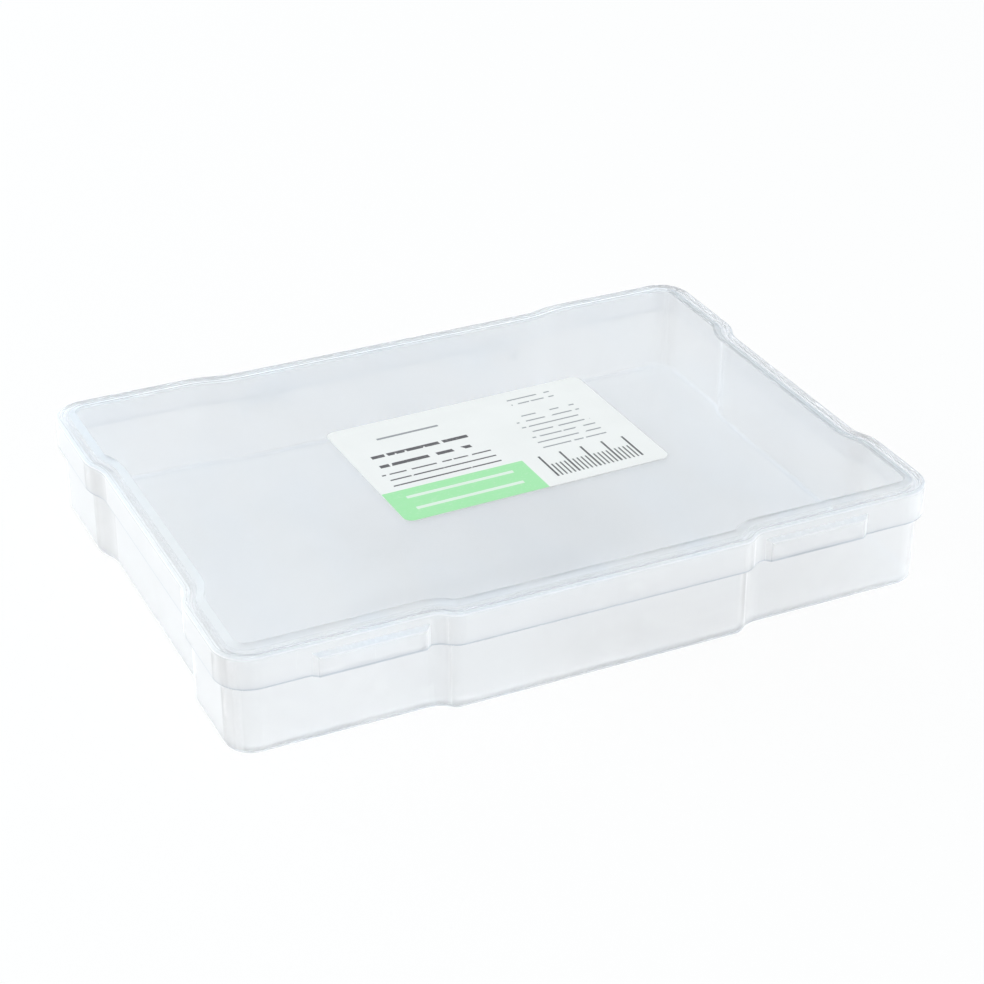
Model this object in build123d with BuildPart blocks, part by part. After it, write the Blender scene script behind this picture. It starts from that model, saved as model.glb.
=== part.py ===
"""Clear hinged photo case: a tray, a lid that clips on the tray's hinge bars, and a paper label.

Millimetres. X runs along the long side, Y from the latches (-Y) to the hinges (+Y), and Z up.
The origin is on the table, below the middle of the closed lid's outline.
"""
from build123d import *
from math import atan, tan
import os

# Lid outline, seen from above
lid_length = 195.0          # left to right
lid_depth = 144.0           # latch side to hinge side
corner_radius = 9.0
front_step = 3.1            # the front wall stands out by this in the middle
front_step_x = 42.0         # where that step lies, left and right of the centre
front_step_run = 8.0        # length of the S-bend that makes it
back_step = 2.1             # the back wall stands in by this in the middle
back_step_x = 51.0
back_step_run = 16.0
end_step = 2.6              # the end walls stand in by this in the middle
end_step_front_y = -36.0
end_step_back_y = 34.0
end_step_run = 10.5
bend_share = 0.97           # share of an S-bend that is arcs; the rest is straight

# Lid
lid_height = 28.8           # table to the lid's shoulder
lid_wall = 1.3
lid_roof = 1.5
skirt_height = 9.2
lid_edge_radius = 1.2
panel_rise = 0.7            # the centre panel stands above the shoulder
shoulder_width = 3.5        # lid outline to the foot of the panel's slope
panel_slope = 1.8           # plan width of that slope
slope_shift = 0.5           # the slope inside lies further in than the one on top by this
roof_radius = 0.8           # where the roof meets the skirt, inside
skirt_edge_radius = 0.3     # outer edge of the skirt's lower end

# Tray
skirt_gap = 0.5             # between the lid's skirt and the tray's wall
rim_gap = 0.3               # between the tray's rim and the lid's roof
tray_wall = 1.3
tray_floor = 1.5
tray_edge_radius = 1.8      # around the underside
floor_radius = 1.2          # where the floor meets the walls, inside
rim_taper = 0.6             # the lip leans in by this, to lead the lid on
rim_taper_height = 5.0

# Latches, on the front wall
latch_x = 61.0              # centre of each, left and right
pad_width = 30.0            # pad on the skirt, hollow behind
pad_rise = 1.2
pad_height = 6.4
pad_end_slope = 1.4
pad_top_slope = 1.0
pad_nose_radius = 0.9       # around the pad's outer face
catch_width = 14.0          # wedge on the tray, inside the pad
catch_rise = 0.9
catch_height = 2.4
catch_land = 0.6            # flat nose of the wedge
bead_height = 0.8           # rib along the pad's lower edge, under the catch
latch_gap = 0.35            # bead to catch, both ways
bead_rise = pad_rise + skirt_gap - catch_rise - latch_gap

# Hinges, on the back wall
hinge_x = 36.0              # centre of each, left and right
hinge_drop = 2.1            # axis below the skirt's lower edge
open_gap = 0.4              # between the two back walls when the lid lies open
bar_radius = 0.85
bar_clearance = 0.08        # radial, bar to hook
hook_wall = 0.65
hook_width = 10.0
hook_reach = 4.0            # height of the hook's root on the skirt
hook_mouth = 1.35           # slot that snaps over the bar
ear_thickness = 1.8
ear_radius = 1.5
ear_gap = 0.35              # hook to ear, each side
ear_root = 5.0              # height of the ear's root on the tray
fuse = 0.5                  # how far a root is sunk in its wall

# Label
label_length = 76.4
label_depth = 52.0
label_thickness = 0.12
label_glue = 0.03           # adhesive film under the paper
label_corner_radius = 2.4
label_x = 3.1
label_y = -1.8
label_turn = 1.5            # degrees; it is stuck on slightly askew

# Worked out from the sizes above
tray_inset = lid_wall + skirt_gap
cavity_inset = tray_inset + tray_wall
panel_inset = shoulder_width + panel_slope
skirt_z = lid_height - skirt_height
roof_z = lid_height - lid_roof
rim_z = roof_z - rim_gap
panel_z = lid_height + panel_rise
front_y = front_step - lid_depth / 2
back_y = lid_depth / 2 - back_step
nose_y = front_y - pad_rise
bead_top_z = skirt_z + bead_height
catch_z = bead_top_z + latch_gap
hook_radius = bar_radius + bar_clearance + hook_wall
hinge_z = skirt_z - hinge_drop
hinge_y = lid_depth / 2 - (tray_inset - open_gap) / 2


def ramp(step, run):
    """Plan length of the slanted line inside an S-bend."""
    return step / tan(2 * atan(step / run))


def bend_radius(step, run):
    """Radius of the two equal arcs that make an S-bend."""
    return bend_share * (run**2 + step**2) / (4 * step)


def right_half():
    """Corners of the right half of the lid outline, front to back, each with its radius."""
    x = lid_length / 2
    y = lid_depth / 2
    front = ramp(front_step, front_step_run) / 2
    end = ramp(end_step, end_step_run) / 2
    back = ramp(back_step, back_step_run) / 2
    front_r = bend_radius(front_step, front_step_run)
    end_r = bend_radius(end_step, end_step_run)
    back_r = bend_radius(back_step, back_step_run)
    return [
        (front_step_x - front, -y, front_r),
        (front_step_x + front, front_y, front_r),
        (x, front_y, corner_radius),
        (x, end_step_front_y - end, end_r),
        (x - end_step, end_step_front_y + end, end_r),
        (x - end_step, end_step_back_y - end, end_r),
        (x, end_step_back_y + end, end_r),
        (x, y, corner_radius),
        (back_step_x + back, y, back_r),
        (back_step_x - back, back_y, back_r),
    ]


def outline(inset):
    """Filled lid outline, shrunk by the inset."""
    right = right_half()
    left = [(-x, y, radius) for x, y, radius in reversed(right)]
    corners = right + left
    with BuildSketch() as profile:
        with BuildLine():
            FilletPolyline(*[(x, y) for x, y, _ in corners], radius=[r for _, _, r in corners], close=True)
        make_face()
        if inset:
            offset(amount=-inset)
    return profile.sketch


def slab(inset, low, high):
    """Straight-sided block with the case's outline, from one height to another."""
    with BuildSketch(Plane.XY.offset(low)) as profile:
        add(outline(inset))
    extrude(profile.sketch, amount=high - low)


def slope(low_inset, low, high_inset, high):
    """Block with the case's outline whose sides lean from one inset to another."""
    with BuildSketch(Plane.XY.offset(low)) as foot:
        add(outline(low_inset))
    with BuildSketch(Plane.XY.offset(high)) as top:
        add(outline(high_inset))
    loft([foot.sketch, top.sketch], ruled=True)


def latch_bump(width, rise, low, high, end_slope, top_slope, wall_y):
    """Pair of flat-topped bumps that stand out of a front wall, with sloping ends and top."""
    for side in (-1, 1):
        with BuildSketch(Plane.XZ.offset(-wall_y)) as root:
            with Locations((side * latch_x, (low + high) / 2)):
                Rectangle(width, high - low)
        with BuildSketch(Plane.XZ.offset(rise - wall_y)) as face:
            with Locations((side * latch_x, (low + high - top_slope) / 2)):
                Rectangle(width - 2 * end_slope, high - low - top_slope)
        loft([root.sketch, face.sketch], ruled=True)
        extrude(root.sketch, amount=-fuse)


def hinge_places():
    """Left and right hinge centres."""
    return (-hinge_x, hinge_x)


def hinge_profile(radius, root_y, root_low, root_high, plane):
    """Round lug about the hinge axis, drawn out to a root on a wall."""
    with BuildSketch(plane) as profile:
        with BuildLine():
            CenterArc((hinge_y, hinge_z), radius, 0, 360)
            Line((root_y, root_low), (root_y, root_high))
        make_hull()
    return profile.sketch


# Tray: the inside, then the body round it
with BuildPart() as tray_hollow:
    slab(cavity_inset, tray_floor, rim_z + rim_gap)
    fillet(tray_hollow.faces().sort_by(Axis.Z)[0].edges(), floor_radius)

with BuildPart() as tray:
    slab(tray_inset, 0, rim_z)
    fillet(tray.faces().sort_by(Axis.Z)[0].edges(), tray_edge_radius)
    rim = tray.faces().sort_by(Axis.Z)[-1]
    chamfer(rim.edges(), rim_taper, length2=rim_taper_height, reference=rim)
    latch_bump(catch_width, catch_rise, catch_z, catch_z + catch_height,
               0, catch_height - catch_land, front_y + tray_inset)
    for x in hinge_places():
        near_ear = x - hook_width / 2 - ear_gap - ear_thickness
        far_ear = x + hook_width / 2 + ear_gap
        for ear_x in (near_ear, far_ear):
            ear = hinge_profile(ear_radius, back_y - tray_inset - fuse, hinge_z + ear_radius - ear_root,
                                hinge_z + ear_radius, Plane.YZ.offset(ear_x))
            extrude(ear, amount=ear_thickness)
        with BuildSketch(Plane.YZ.offset(near_ear)) as bar:
            with Locations((hinge_y, hinge_z)):
                Circle(bar_radius)
        extrude(bar.sketch, amount=far_ear + ear_thickness - near_ear)
    add(tray_hollow.part, mode=Mode.SUBTRACT)
tray.part.label = "base_tray"

# Lid: the inside, then the body round it
with BuildPart() as lid_hollow:
    slab(lid_wall, skirt_z, roof_z)
    fillet(lid_hollow.faces().sort_by(Axis.Z)[-1].edges(), roof_radius)
    slope(shoulder_width + slope_shift, roof_z, panel_inset + slope_shift, roof_z + panel_rise)
    latch_bump(pad_width - 2 * lid_wall, pad_rise, skirt_z, skirt_z + pad_height - lid_wall,
               pad_end_slope, pad_top_slope, front_y + lid_wall)

with BuildPart() as lid:
    slab(0, skirt_z, lid_height)
    fillet(lid.faces().sort_by(Axis.Z)[-1].edges(), lid_edge_radius)
    fillet(lid.faces().sort_by(Axis.Z)[0].edges(), skirt_edge_radius)
    slope(shoulder_width, lid_height, panel_inset, panel_z)
    latch_bump(pad_width, pad_rise, skirt_z, skirt_z + pad_height, pad_end_slope, pad_top_slope, front_y)
    noses = lid.faces().filter_by(Axis.Y)
    noses = noses.filter_by_position(Axis.Y, nose_y - pad_rise / 2, nose_y + pad_rise / 2)
    fillet(noses.edges().filter_by_position(Axis.Z, bead_top_z, lid_height), pad_nose_radius)
    add(lid_hollow.part, mode=Mode.SUBTRACT)
    for side in (-1, 1):
        with BuildSketch(Plane.XY.offset(skirt_z)) as bead:
            with Locations((side * latch_x, nose_y + lid_wall + (bead_rise - fuse) / 2)):
                Rectangle(catch_width, bead_rise + fuse)
        extrude(bead.sketch, amount=bead_height)
    for x in hinge_places():
        hook_plane = Plane.YZ.offset(x - hook_width / 2)
        hook = hinge_profile(hook_radius, back_y - fuse, skirt_z, skirt_z + hook_reach, hook_plane)
        extrude(hook, amount=hook_width)
        with BuildSketch(hook_plane) as mouth:
            with Locations((hinge_y, hinge_z)):
                Circle(bar_radius + bar_clearance)
            with Locations((hinge_y, hinge_z - hook_radius / 2)):
                Rectangle(hook_mouth, hook_radius)
        extrude(mouth.sketch, amount=hook_width, mode=Mode.SUBTRACT)
lid.part.label = "lid"

# Label: paper, stuck flat on the centre panel
with BuildPart() as label:
    with BuildSketch(Plane.XY.offset(panel_z + label_glue)) as paper:
        with Locations((label_x, label_y)):
            RectangleRounded(label_length, label_depth, label_corner_radius, rotation=label_turn)
    extrude(paper.sketch, amount=label_thickness)
label.part.label = "label"

os.makedirs("parts", exist_ok=True)
export_step(tray.part, "parts/base_tray.step")
export_step(lid.part, "parts/lid.step")
export_step(label.part, "parts/label.step")
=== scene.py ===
"""Looks of the clear photo case: moulded clear plastic, a printed paper label, studio and camera."""

import math
from collections import namedtuple

import bpy
from mathutils import Matrix, Vector

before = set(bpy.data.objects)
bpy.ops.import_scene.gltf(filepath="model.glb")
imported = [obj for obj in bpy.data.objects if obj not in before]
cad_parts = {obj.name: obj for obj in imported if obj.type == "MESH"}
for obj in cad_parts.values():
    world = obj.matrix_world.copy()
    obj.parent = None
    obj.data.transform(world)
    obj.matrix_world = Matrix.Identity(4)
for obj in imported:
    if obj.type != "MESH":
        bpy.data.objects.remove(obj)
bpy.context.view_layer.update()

MM = 0.001

# Camera
LENS_MM = 89.37
SENSOR_MM = 36
AZIMUTH_DEG = -25.37
ELEVATION_DEG = 29.57
ROLL_DEG = 0.10
AIM_MM = (4.41, 3.60, 12.35)
DISTANCE_MM = 659.1
NEAREST_SEEN_M = 0.01

# Light. Only the top lamp is mirrored in the plastic, because the others would burn out from some sides.
Lamp = namedtuple("Lamp", "name place size power colour mirrored")
LAMP_COLOUR = (1.0, 0.985, 0.95)
BACK_LAMP_COLOUR = (0.78, 0.92, 1.0)
FRONT_LAMP_COLOUR = (1.0, 0.96, 0.92)
LAMPS = (
    Lamp("left_lamp", (-2.7, 0.5, 1.6), size=2.0, power=54.0, colour=LAMP_COLOUR, mirrored=False),
    Lamp("top_lamp", (0.2, -0.2, 3.2), size=2.0, power=14.0, colour=LAMP_COLOUR, mirrored=True),
    Lamp("back_lamp", (-1.4, 3.0, 0.8), size=1.4, power=60.0, colour=BACK_LAMP_COLOUR, mirrored=False),
    Lamp("front_lamp", (0.9, -3.0, 0.9), size=2.0, power=34.0, colour=FRONT_LAMP_COLOUR, mirrored=False),
)
WORLD_LIGHT = 0.55
WORLD_COLOUR = (0.87, 0.96, 1.0)
BEFORE_MATTE_BOUNCE = 0.5
LIGHT_BOUNCES = 32

# Floor
FLOOR_COLOUR = (0.9, 0.9, 0.9)
FLOOR_GLOW = 0.85
FLOOR_SIZE_M = 6.0
FLOOR_DROP_M = 0.0002

# Clear plastic: glass with a milky veil that is thicker where it is seen at a slant
GLASS_TINT = (0.952, 0.967, 0.984)
# Warmer glass tint of the upright walls: painted light colour, for cool light from above and warm lamps
# at the sides
WALL_PAINTED_WARM_TINT = (0.958, 0.955, 0.954)
GLASS_IOR = 1.4
SMOOTH_ROUGHNESS = 0.035
HAZY_ROUGHNESS = 0.07
WALL_ROUGHNESS = 0.03
SCUFF_ROUGHNESS = 0.05
LAMP_TINT = (0.96, 0.96, 0.96)

VEIL_COLOUR = (0.885, 0.897, 0.915)
VEIL_TINGE = (0.86, 0.897, 0.945)
# Warmer veil colour of the upright walls: painted light colour, for cool light from above and warm lamps
# at the sides
WALL_VEIL_PAINTED_WARM = (0.91, 0.902, 0.91)
VEIL_THROUGH = 0.4
VEIL_SHARE = 0.155
VEIL_DRIFT = 0.12
SLANT_VEIL_SHARE = 1.0
SLANT_BLEND = 0.5
SLANT_POWER = 5.0
WALL_VEIL_SHARE = 0.20
ROUNDING_VEIL_SHARE = 0.55
CORNER_VEIL_SHARE = 0.12
WEAR_VEIL_SHARE = 0.05

HAZE_SCALE = 26.0
HAZE_BAND = (0.3, 0.7)
FLOW_SCALE = 60.0
FLOW_TURN_DEG = 12.0
FLOW_STRETCH = (1.0, 0.35, 1.0)
FLOW_BAND = (0.35, 0.7)
MOULD_BUMP_M = 0.00012

# Wear on the edges, and two sets of fine scratches
SCUFF_SCALE = 900.0
SCUFF_BAND = (0.46, 0.66)
SCUFF_DEPTH = 0.04
SCRATCH_SCALE = 55.0
SCRATCH_STRETCH = 26.0
SCRATCH_TURNS_DEG = (27.0, 64.0)
SCRATCH_BANDS = ((0.70, 0.78), (0.71, 0.79))
SCRATCH_SHARE = 0.35

# Limits of the masks that tell which way a surface faces
CORNER_BAND = (0.86, 1.0)
CORNER_WEAR = 0.4
EDGE_BAND = (0.35, 0.95)
ROUNDING_BAND = (0.05, 0.6)
FACING_UP_BAND = (0.0, 0.3)
UPRIGHT_BAND = (0.05, 0.5)
FACING_DOWN_BAND = (-0.4, -0.12)

# Painted shade: a darker line along the lid's lower edge, by height above the table, for the shade in
# the gap under the skirt
RIM_PAINTED_SHADE = (0.70, 0.73, 0.77)
RIM_LOW_MM = 19.3
RIM_HIGH_MM = 20.1
RIM_SOFT_MM = 0.15

# Label. Its print is drawn in millimetres from the middle of the paper, along its edges.
PAPER_TURN_DEG = 1.5
PAPER_COLOUR = (0.90, 0.895, 0.885)
PAPER_SHADE = (0.875, 0.87, 0.86)
PAPER_BACK = (0.78, 0.785, 0.775)
PAPER_THROUGH = 0.04
PAPER_ROUGHNESS = (0.42, 0.56)
PAPER_BUMP_M = 0.00005
FIBRE_SCALE = 2600.0
FIBRE_HEIGHT = 0.25
MOTTLE_SCALE = 90.0
MOTTLE_BAND = (0.3, 0.7)
SHADE_BAND = (0.35, 0.65)
TOP_BAND = (0.5, 0.8)
UNDER_BAND = (-0.8, -0.5)

GREEN_INK = (0.37, 0.80, 0.41)
DARK_INK = (0.07, 0.07, 0.08)
GREY_INK = (0.30, 0.31, 0.33)
INK_GLOSS = 0.1
INK_SPREAD_SCALE = 1500.0
INK_SPREAD_BAND = (0.3, 0.45)
WORN_INK = 0.86
PRINT_SOFT_MM = 0.08
PRINT_SHOWING_THROUGH = 0.22
BAND_LINE_SHARE = 0.75
WORD_SCALE = 380.0
WORD_STRETCH = (1.0, 0.3, 1.0)
WORD_GAPS = (0.35, 0.37)

# The green band runs off the paper at the left and at the front
GREEN_BAND_RIGHT_MM = 2.2
GREEN_BAND_TOP_MM = -10.5
PAST_THE_PAPER_MM = 40.0

Rules = namedtuple("Rules", "left right top pitch count thickness")
HEADING = Rules(left=-27.0, right=-9.0, top=17.0, pitch=3.0, count=1, thickness=0.9)
TITLE = Rules(left=-32.5, right=-4.5, top=8.2, pitch=5.4, count=2, thickness=1.5)
NOTES = Rules(left=-34.0, right=-2.5, top=-1.7, pitch=3.1, count=3, thickness=0.6)
SIDE_TOP = Rules(left=14.0, right=27.0, top=21.3, pitch=2.8, count=2, thickness=0.55)
SIDE_LOW = Rules(left=10.5, right=29.5, top=11.6, pitch=3.05, count=7, thickness=0.55)
BAND_LINES = Rules(left=-33.0, right=-2.5, top=-14.6, pitch=6.0, count=2, thickness=1.3)
# The scale's strokes are rules on their side: left and right are a stroke's ends, top is the last stroke
TICKS = Rules(left=-22.0, right=-15.5, top=32.0, pitch=1.25, count=21, thickness=0.45)
LONG_TICKS = Rules(left=-22.0, right=-10.5, top=32.0, pitch=6.25, count=5, thickness=0.6)


def new_material(name):
    """Empty node material and its node tree."""
    material = bpy.data.materials.new(name)
    material.use_nodes = True
    material.node_tree.nodes.clear()
    return material, material.node_tree


def add_node(tree, kind, **settings):
    """Node with its properties set."""
    node = tree.nodes.new(kind)
    for key, value in settings.items():
        setattr(node, key, value)
    return node


def feed(tree, socket, value):
    """Link a socket, or set it to a number or colour."""
    if isinstance(value, bpy.types.NodeSocket):
        tree.links.new(value, socket)
    elif isinstance(value, tuple) and len(value) == 3 and len(socket.default_value) == 4:
        socket.default_value = (*value, 1)
    else:
        socket.default_value = value


def calc(tree, operation, *values):
    """Math node on sockets and numbers."""
    node = add_node(tree, "ShaderNodeMath", operation=operation)
    for socket, value in zip(node.inputs, values):
        feed(tree, socket, value)
    return node.outputs[0]


def add(tree, first, second):
    """Sum of two numbers."""
    return calc(tree, "ADD", first, second)


def times(tree, first, second):
    """Product of two numbers."""
    return calc(tree, "MULTIPLY", first, second)


def larger(tree, first, second):
    """The larger of two numbers."""
    return calc(tree, "MAXIMUM", first, second)


def ramp(tree, value, low, high, start=0.0, end=1.0):
    """Number that goes smoothly from start to end as value goes from low to high."""
    node = add_node(tree, "ShaderNodeMapRange", interpolation_type="SMOOTHSTEP")
    for socket, number in zip(node.inputs, (value, low, high, start, end)):
        feed(tree, socket, number)
    return node.outputs[0]


def within(tree, value, low, high, soft):
    """1 where value lies between low and high, with soft ends."""
    rise = ramp(tree, value, low - soft, low + soft)
    fall = ramp(tree, value, high - soft, high + soft, 1.0, 0.0)
    return times(tree, rise, fall)


def blend(tree, factor, first, second):
    """Colour between two colours."""
    node = add_node(tree, "ShaderNodeMix", data_type="RGBA")
    colours = [socket for socket in node.inputs if socket.type == "RGBA"]
    feed(tree, node.inputs["Factor"], factor)
    feed(tree, colours[0], first)
    feed(tree, colours[1], second)
    return next(socket for socket in node.outputs if socket.type == "RGBA")


def noise(tree, where, scale, detail=3.0, roughness=0.5, distortion=0.0):
    """Noise texture's value."""
    node = add_node(tree, "ShaderNodeTexNoise")
    feed(tree, node.inputs["Vector"], where)
    node.inputs["Scale"].default_value = scale
    node.inputs["Detail"].default_value = detail
    node.inputs["Roughness"].default_value = roughness
    node.inputs["Distortion"].default_value = distortion
    return node.outputs[0]


def stretched(tree, where, scale, turn_deg=0.0):
    """Coordinates turned about Z and stretched."""
    node = add_node(tree, "ShaderNodeMapping")
    feed(tree, node.inputs["Vector"], where)
    node.inputs["Rotation"].default_value = (0, 0, math.radians(turn_deg))
    node.inputs["Scale"].default_value = scale
    return node.outputs[0]


def parts_of(tree, vector):
    """The three numbers of a vector."""
    node = add_node(tree, "ShaderNodeSeparateXYZ")
    feed(tree, node.inputs[0], vector)
    return node.outputs


def mix_shaders(tree, factor, first, second):
    """Mix Shader node's output."""
    node = add_node(tree, "ShaderNodeMixShader")
    feed(tree, node.inputs[0], factor)
    tree.links.new(first, node.inputs[1])
    tree.links.new(second, node.inputs[2])
    return node.outputs[0]


def bump(tree, height, distance):
    """Normal from a height in 0 to 1."""
    node = add_node(tree, "ShaderNodeBump")
    feed(tree, node.inputs["Height"], height)
    node.inputs["Distance"].default_value = distance
    node.inputs["Strength"].default_value = 1.0
    return node.outputs[0]


def coloured(tree, kind, colour):
    """Node of a plain shader or light with its colour."""
    node = add_node(tree, kind)
    feed(tree, node.inputs["Color"], colour)
    return node


def finish_material(tree, shader):
    """Join the shader to the material's output."""
    out = add_node(tree, "ShaderNodeOutputMaterial")
    tree.links.new(shader, out.inputs["Surface"])


def facings(tree, normal):
    """Masks of rounded edges, upright corners, the upper roundings and the upright walls."""
    nx, ny, nz = parts_of(tree, normal)
    flat = times(tree, nz, nz)
    # Four times a product of two shares that make up a whole is 1 halfway between two axes
    tilt = times(tree, times(tree, flat, calc(tree, "SUBTRACT", 1.0, flat)), 4.0)
    across = times(tree, nx, ny)
    corner = ramp(tree, times(tree, times(tree, across, across), 4.0), *CORNER_BAND)
    edge = larger(tree, ramp(tree, tilt, *EDGE_BAND), times(tree, corner, CORNER_WEAR))
    rounding = times(tree, ramp(tree, tilt, *ROUNDING_BAND), ramp(tree, nz, *FACING_UP_BAND))
    upright = times(tree, ramp(tree, flat, *UPRIGHT_BAND, 1.0, 0.0), ramp(tree, nz, *FACING_DOWN_BAND))
    return edge, corner, rounding, upright


def wear(tree, where, edge):
    """Scuffed edges and fine scratches, 0 to 1."""
    grain = noise(tree, where, SCUFF_SCALE, detail=5.0, roughness=0.65)
    scuffed = times(tree, edge, ramp(tree, grain, *SCUFF_BAND))
    stretches = ((1.0, SCRATCH_STRETCH, 1.0), (SCRATCH_STRETCH, 1.0, 1.0))
    lines = []
    for stretch, turn, span in zip(stretches, SCRATCH_TURNS_DEG, SCRATCH_BANDS):
        streaks = noise(tree, stretched(tree, where, stretch, turn), SCRATCH_SCALE, detail=2.0)
        lines.append(ramp(tree, streaks, *span))
    return larger(tree, scuffed, times(tree, larger(tree, *lines), SCRATCH_SHARE))


def veil_share(tree, haze, extras):
    """Share of the veil in the plastic: it grows at a slant, and by a set amount under each mask."""
    slant = add_node(tree, "ShaderNodeLayerWeight")
    slant.inputs["Blend"].default_value = SLANT_BLEND
    by_slant = add_node(tree, "ShaderNodeMapRange")
    feed(tree, by_slant.inputs["Value"], calc(tree, "POWER", slant.outputs["Facing"], SLANT_POWER))
    thin = VEIL_SHARE * (1 - VEIL_DRIFT)
    thick = VEIL_SHARE * (1 + VEIL_DRIFT)
    feed(tree, by_slant.inputs["To Min"], ramp(tree, haze, *HAZE_BAND, thin, thick))
    feed(tree, by_slant.inputs["To Max"], SLANT_VEIL_SHARE)
    share = by_slant.outputs[0]
    for mask, extra in extras:
        share = add(tree, share, times(tree, mask, extra))
    return calc(tree, "MINIMUM", share, 1.0)


def clear_plastic(name, painted_rim_shade):
    """Moulded polypropylene: clear, with a veil, flow haze, scuffs and worn edges."""
    material, tree = new_material(name)
    place = add_node(tree, "ShaderNodeTexCoord")
    where = place.outputs["Object"]
    edge, corner, rounding, upright = facings(tree, place.outputs["Normal"])
    haze = noise(tree, where, HAZE_SCALE, detail=3.0, roughness=0.55, distortion=0.6)
    flow = noise(tree, stretched(tree, where, FLOW_STRETCH, FLOW_TURN_DEG), FLOW_SCALE, detail=2.0)
    scuffs = wear(tree, where, edge)

    # Upright walls take a warmer tint and veil than the bluish top: painted light colour, standing in
    # for cool light from above and warm lamps at the sides
    tint = blend(tree, upright, GLASS_TINT, WALL_PAINTED_WARM_TINT)
    milk = blend(tree, ramp(tree, flow, *FLOW_BAND), VEIL_COLOUR, VEIL_TINGE)
    milk = blend(tree, upright, milk, WALL_VEIL_PAINTED_WARM)
    # Painted shade along the lid's lower edge, in both the glass tint and the veil
    if painted_rim_shade:
        z = parts_of(tree, where)[2]
        rim_shade = within(tree, z, RIM_LOW_MM * MM, RIM_HIGH_MM * MM, RIM_SOFT_MM * MM)
        tint = blend(tree, rim_shade, tint, RIM_PAINTED_SHADE)
        milk = blend(tree, rim_shade, milk, RIM_PAINTED_SHADE)

    roughness = ramp(tree, haze, *HAZE_BAND, SMOOTH_ROUGHNESS, HAZY_ROUGHNESS)
    roughness = add(tree, roughness, times(tree, scuffs, SCUFF_ROUGHNESS))
    roughness = add(tree, roughness, times(tree, upright, WALL_ROUGHNESS))
    surface = bump(tree, add(tree, haze, times(tree, scuffs, -SCUFF_DEPTH)), MOULD_BUMP_M)
    glass = add_node(tree, "ShaderNodeBsdfPrincipled")
    feed(tree, glass.inputs["Base Color"], tint)
    feed(tree, glass.inputs["Transmission Weight"], 1.0)
    feed(tree, glass.inputs["IOR"], GLASS_IOR)
    feed(tree, glass.inputs["Roughness"], roughness)
    feed(tree, glass.inputs["Normal"], surface)

    near_side = coloured(tree, "ShaderNodeBsdfDiffuse", milk)
    far_side = coloured(tree, "ShaderNodeBsdfTranslucent", milk)
    veil = mix_shaders(tree, VEIL_THROUGH, near_side.outputs[0], far_side.outputs[0])

    extras = ((corner, CORNER_VEIL_SHARE), (upright, WALL_VEIL_SHARE),
              (rounding, ROUNDING_VEIL_SHARE), (scuffs, WEAR_VEIL_SHARE))
    milky = mix_shaders(tree, veil_share(tree, haze, extras), glass.outputs[0], veil)

    # Lamps shine through the plastic
    clear = coloured(tree, "ShaderNodeBsdfTransparent", LAMP_TINT)
    path = add_node(tree, "ShaderNodeLightPath")
    finish_material(tree, mix_shaders(tree, path.outputs["Is Shadow Ray"], milky, clear.outputs[0]))
    return material


def middle_of(node):
    """Middle of a CAD node's box, in metres."""
    points = [vertex.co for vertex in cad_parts[node].data.vertices]
    return [(min(side) + max(side)) / 2 for side in zip(*points)]


def on_paper(tree, where):
    """Coordinates from the middle of the paper, along its edges."""
    x, y, _ = middle_of("label")
    node = add_node(tree, "ShaderNodeMapping", vector_type="TEXTURE")
    feed(tree, node.inputs["Vector"], where)
    node.inputs["Location"].default_value = (x, y, 0)
    node.inputs["Rotation"].default_value = (0, 0, math.radians(PAPER_TURN_DEG))
    return node.outputs[0]


def draw_rules(tree, x, y, rules):
    """Ruled lines, one under another."""
    low = rules.top - rules.pitch * (rules.count - 0.5)
    spare = rules.pitch / 4
    soft = PRINT_SOFT_MM * MM
    rows = within(tree, y, (low - spare) * MM, (rules.top + spare) * MM, soft)
    columns = within(tree, x, rules.left * MM, rules.right * MM, soft)
    step = calc(tree, "PINGPONG", calc(tree, "SUBTRACT", y, rules.top * MM), rules.pitch / 2 * MM)
    half = rules.thickness / 2 * MM
    line = ramp(tree, step, half - soft / 2, half + soft / 2, 1.0, 0.0)
    return times(tree, times(tree, rows, columns), line)


def print_masks(tree, where):
    """Where the label's dark, grey and green ink lie, on an endless sheet."""
    plane = on_paper(tree, where)
    x, y, _ = parts_of(tree, plane)
    patches = noise(tree, stretched(tree, plane, WORD_STRETCH), WORD_SCALE, detail=0.0)
    words = ramp(tree, patches, *WORD_GAPS)
    title = times(tree, draw_rules(tree, x, y, TITLE), words)
    notes = times(tree, draw_rules(tree, x, y, NOTES), words)
    side = larger(tree, draw_rules(tree, x, y, SIDE_TOP), draw_rules(tree, x, y, SIDE_LOW))
    scale = larger(tree, draw_rules(tree, y, x, TICKS), draw_rules(tree, y, x, LONG_TICKS))
    dark = larger(tree, larger(tree, title, notes), scale)
    grey = larger(tree, draw_rules(tree, x, y, HEADING), times(tree, side, words))

    soft = PRINT_SOFT_MM * MM
    band = times(tree, within(tree, x, -PAST_THE_PAPER_MM * MM, GREEN_BAND_RIGHT_MM * MM, soft),
                 within(tree, y, -PAST_THE_PAPER_MM * MM, GREEN_BAND_TOP_MM * MM, soft))
    lines = times(tree, draw_rules(tree, x, y, BAND_LINES), BAND_LINE_SHARE)
    green = larger(tree, calc(tree, "SUBTRACT", band, lines), 0.0)
    return dark, grey, green


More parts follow.
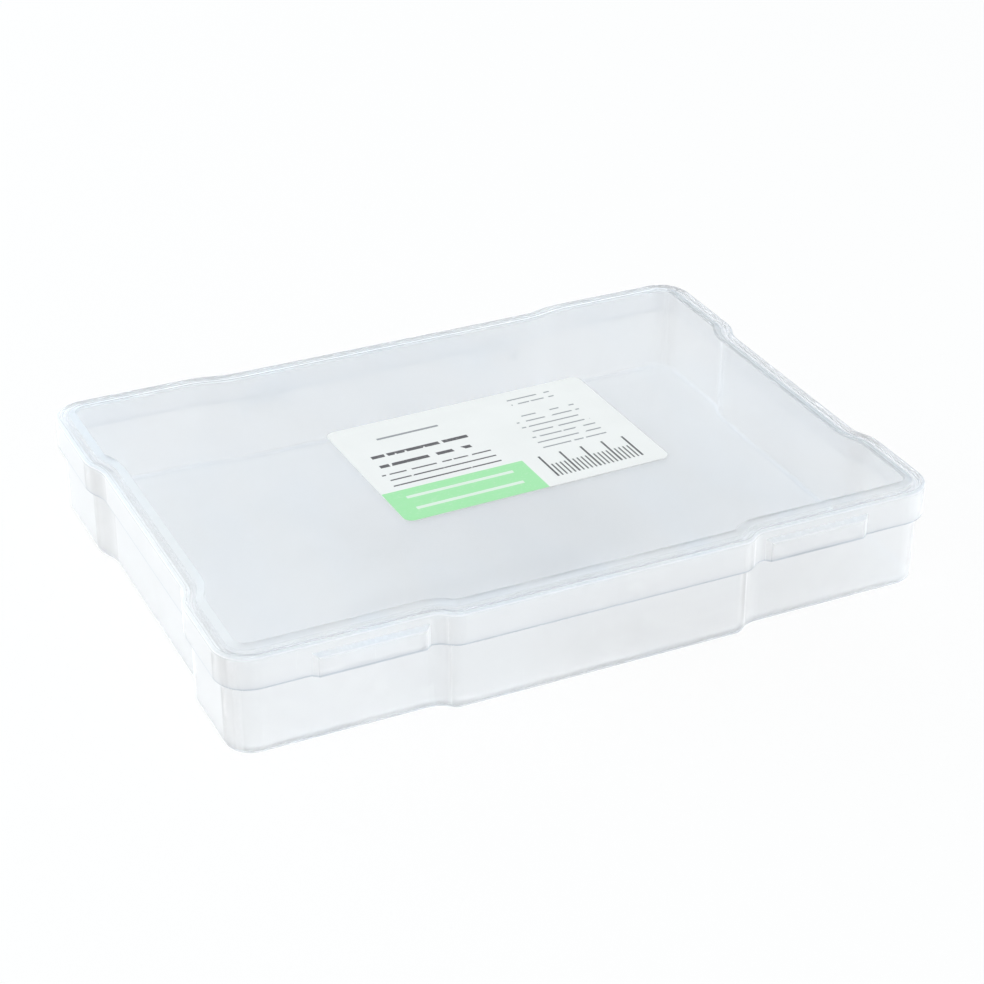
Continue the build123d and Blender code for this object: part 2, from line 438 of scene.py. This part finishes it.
def label_paper():
    """White coated paper with a plain green band, broken rules and an even scale."""
    material, tree = new_material("label_paper")
    place = add_node(tree, "ShaderNodeTexCoord")
    where = place.outputs["Object"]
    nz = parts_of(tree, place.outputs["Normal"])[2]
    top_side = ramp(tree, nz, *TOP_BAND)
    under_side = ramp(tree, nz, *UNDER_BAND, 1.0, 0.0)

    dark, grey, green = print_masks(tree, where)
    dark = times(tree, dark, top_side)
    grey = times(tree, grey, top_side)
    green = times(tree, green, add(tree, top_side, times(tree, under_side, PRINT_SHOWING_THROUGH)))

    fibre = noise(tree, where, FIBRE_SCALE, detail=4.0, roughness=0.7)
    mottle = noise(tree, where, MOTTLE_SCALE)
    cloud = add(tree, times(tree, fibre, 0.5), times(tree, mottle, 0.5))
    colour = blend(tree, ramp(tree, cloud, *SHADE_BAND), PAPER_COLOUR, PAPER_SHADE)
    colour = blend(tree, under_side, colour, PAPER_BACK)
    spread = noise(tree, where, INK_SPREAD_SCALE)
    ink_wear = ramp(tree, spread, *INK_SPREAD_BAND, WORN_INK, 1.0)
    for mask, ink in ((green, GREEN_INK), (grey, GREY_INK), (dark, DARK_INK)):
        colour = blend(tree, times(tree, mask, ink_wear), colour, ink)

    matte = ramp(tree, mottle, *MOTTLE_BAND, *PAPER_ROUGHNESS)
    gloss = times(tree, larger(tree, dark, green), INK_GLOSS)
    paper = add_node(tree, "ShaderNodeBsdfPrincipled")
    feed(tree, paper.inputs["Base Color"], colour)
    feed(tree, paper.inputs["Roughness"], calc(tree, "SUBTRACT", matte, gloss))
    height = add(tree, times(tree, fibre, FIBRE_HEIGHT), mottle)
    feed(tree, paper.inputs["Normal"], bump(tree, height, PAPER_BUMP_M))
    through = coloured(tree, "ShaderNodeBsdfTranslucent", PAPER_COLOUR)
    finish_material(tree, mix_shaders(tree, PAPER_THROUGH, paper.outputs[0], through.outputs[0]))
    return material


def dress(node, material):
    """Give a CAD node its material."""
    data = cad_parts[node].data
    data.materials.clear()
    data.materials.append(material)


def seen_by_eye(tree):
    """1 for what the camera sees, also mirrored or through plastic; 0 for light on a matte surface."""
    path = add_node(tree, "ShaderNodeLightPath")
    seen = larger(tree, path.outputs["Is Camera Ray"], path.outputs["Is Glossy Ray"])
    seen = larger(tree, seen, path.outputs["Is Transmission Ray"])
    early = calc(tree, "LESS_THAN", path.outputs["Diffuse Depth"], BEFORE_MATTE_BOUNCE)
    return times(tree, seen, early)


def build_floor():
    """White studio floor that keeps the object's shadow."""
    bpy.ops.mesh.primitive_plane_add(size=FLOOR_SIZE_M, location=(0, 0, -FLOOR_DROP_M))
    floor = bpy.context.object
    floor.name = "studio_floor"
    material, tree = new_material("studio_floor")
    diffuse = coloured(tree, "ShaderNodeBsdfDiffuse", FLOOR_COLOUR)
    glow = coloured(tree, "ShaderNodeEmission", (1, 1, 1))
    share = times(tree, seen_by_eye(tree), FLOOR_GLOW)
    finish_material(tree, mix_shaders(tree, share, diffuse.outputs[0], glow.outputs[0]))
    floor.data.materials.append(material)


def build_world():
    """Soft cool light from all round, seen as white."""
    world = bpy.data.worlds.new("studio")
    bpy.context.scene.world = world
    world.use_nodes = True
    tree = world.node_tree
    tree.nodes.clear()
    light = coloured(tree, "ShaderNodeBackground", WORLD_COLOUR)
    light.inputs["Strength"].default_value = WORLD_LIGHT
    backdrop = coloured(tree, "ShaderNodeBackground", (1, 1, 1))
    shown = mix_shaders(tree, seen_by_eye(tree), light.outputs[0], backdrop.outputs[0])
    out = add_node(tree, "ShaderNodeOutputWorld")
    tree.links.new(shown, out.inputs["Surface"])


def build_lamp(lamp):
    """Square soft lamp that faces the case."""
    data = bpy.data.lights.new(lamp.name, "AREA")
    data.size = lamp.size
    data.energy = lamp.power
    data.color = lamp.colour
    light = bpy.data.objects.new(lamp.name, data)
    bpy.context.scene.collection.objects.link(light)
    light.location = lamp.place
    light.rotation_euler = (-Vector(lamp.place)).to_track_quat("-Z", "Y").to_euler()
    light.visible_glossy = lamp.mirrored
    light.visible_transmission = lamp.mirrored


def build_camera():
    """Camera at the photograph's viewing angle."""
    turn = (Matrix.Rotation(math.radians(AZIMUTH_DEG), 4, "Z")
            @ Matrix.Rotation(math.radians(90 - ELEVATION_DEG), 4, "X")
            @ Matrix.Rotation(math.radians(ROLL_DEG), 4, "Z"))
    aim = Vector(AIM_MM) * MM
    data = bpy.data.cameras.new("camera")
    data.lens = LENS_MM
    data.sensor_width = SENSOR_MM
    data.clip_start = NEAREST_SEEN_M
    camera = bpy.data.objects.new("camera", data)
    bpy.context.scene.collection.objects.link(camera)
    camera.matrix_world = Matrix.Translation(aim) @ turn @ Matrix.Translation((0, 0, DISTANCE_MM * MM))
    bpy.context.scene.camera = camera


def set_rendering():
    """Enough bounces for clear plastic, and plain colours."""
    cycles = bpy.context.scene.cycles
    cycles.max_bounces = LIGHT_BOUNCES
    cycles.transmission_bounces = LIGHT_BOUNCES
    cycles.glossy_bounces = LIGHT_BOUNCES
    cycles.transparent_max_bounces = LIGHT_BOUNCES
    bpy.context.scene.view_settings.view_transform = "Standard"


dress("base_tray", clear_plastic("tray_plastic", painted_rim_shade=False))
dress("lid", clear_plastic("lid_plastic", painted_rim_shade=True))
dress("label", label_paper())
build_floor()
build_world()
for lamp in LAMPS:
    build_lamp(lamp)
build_camera()
set_rendering()
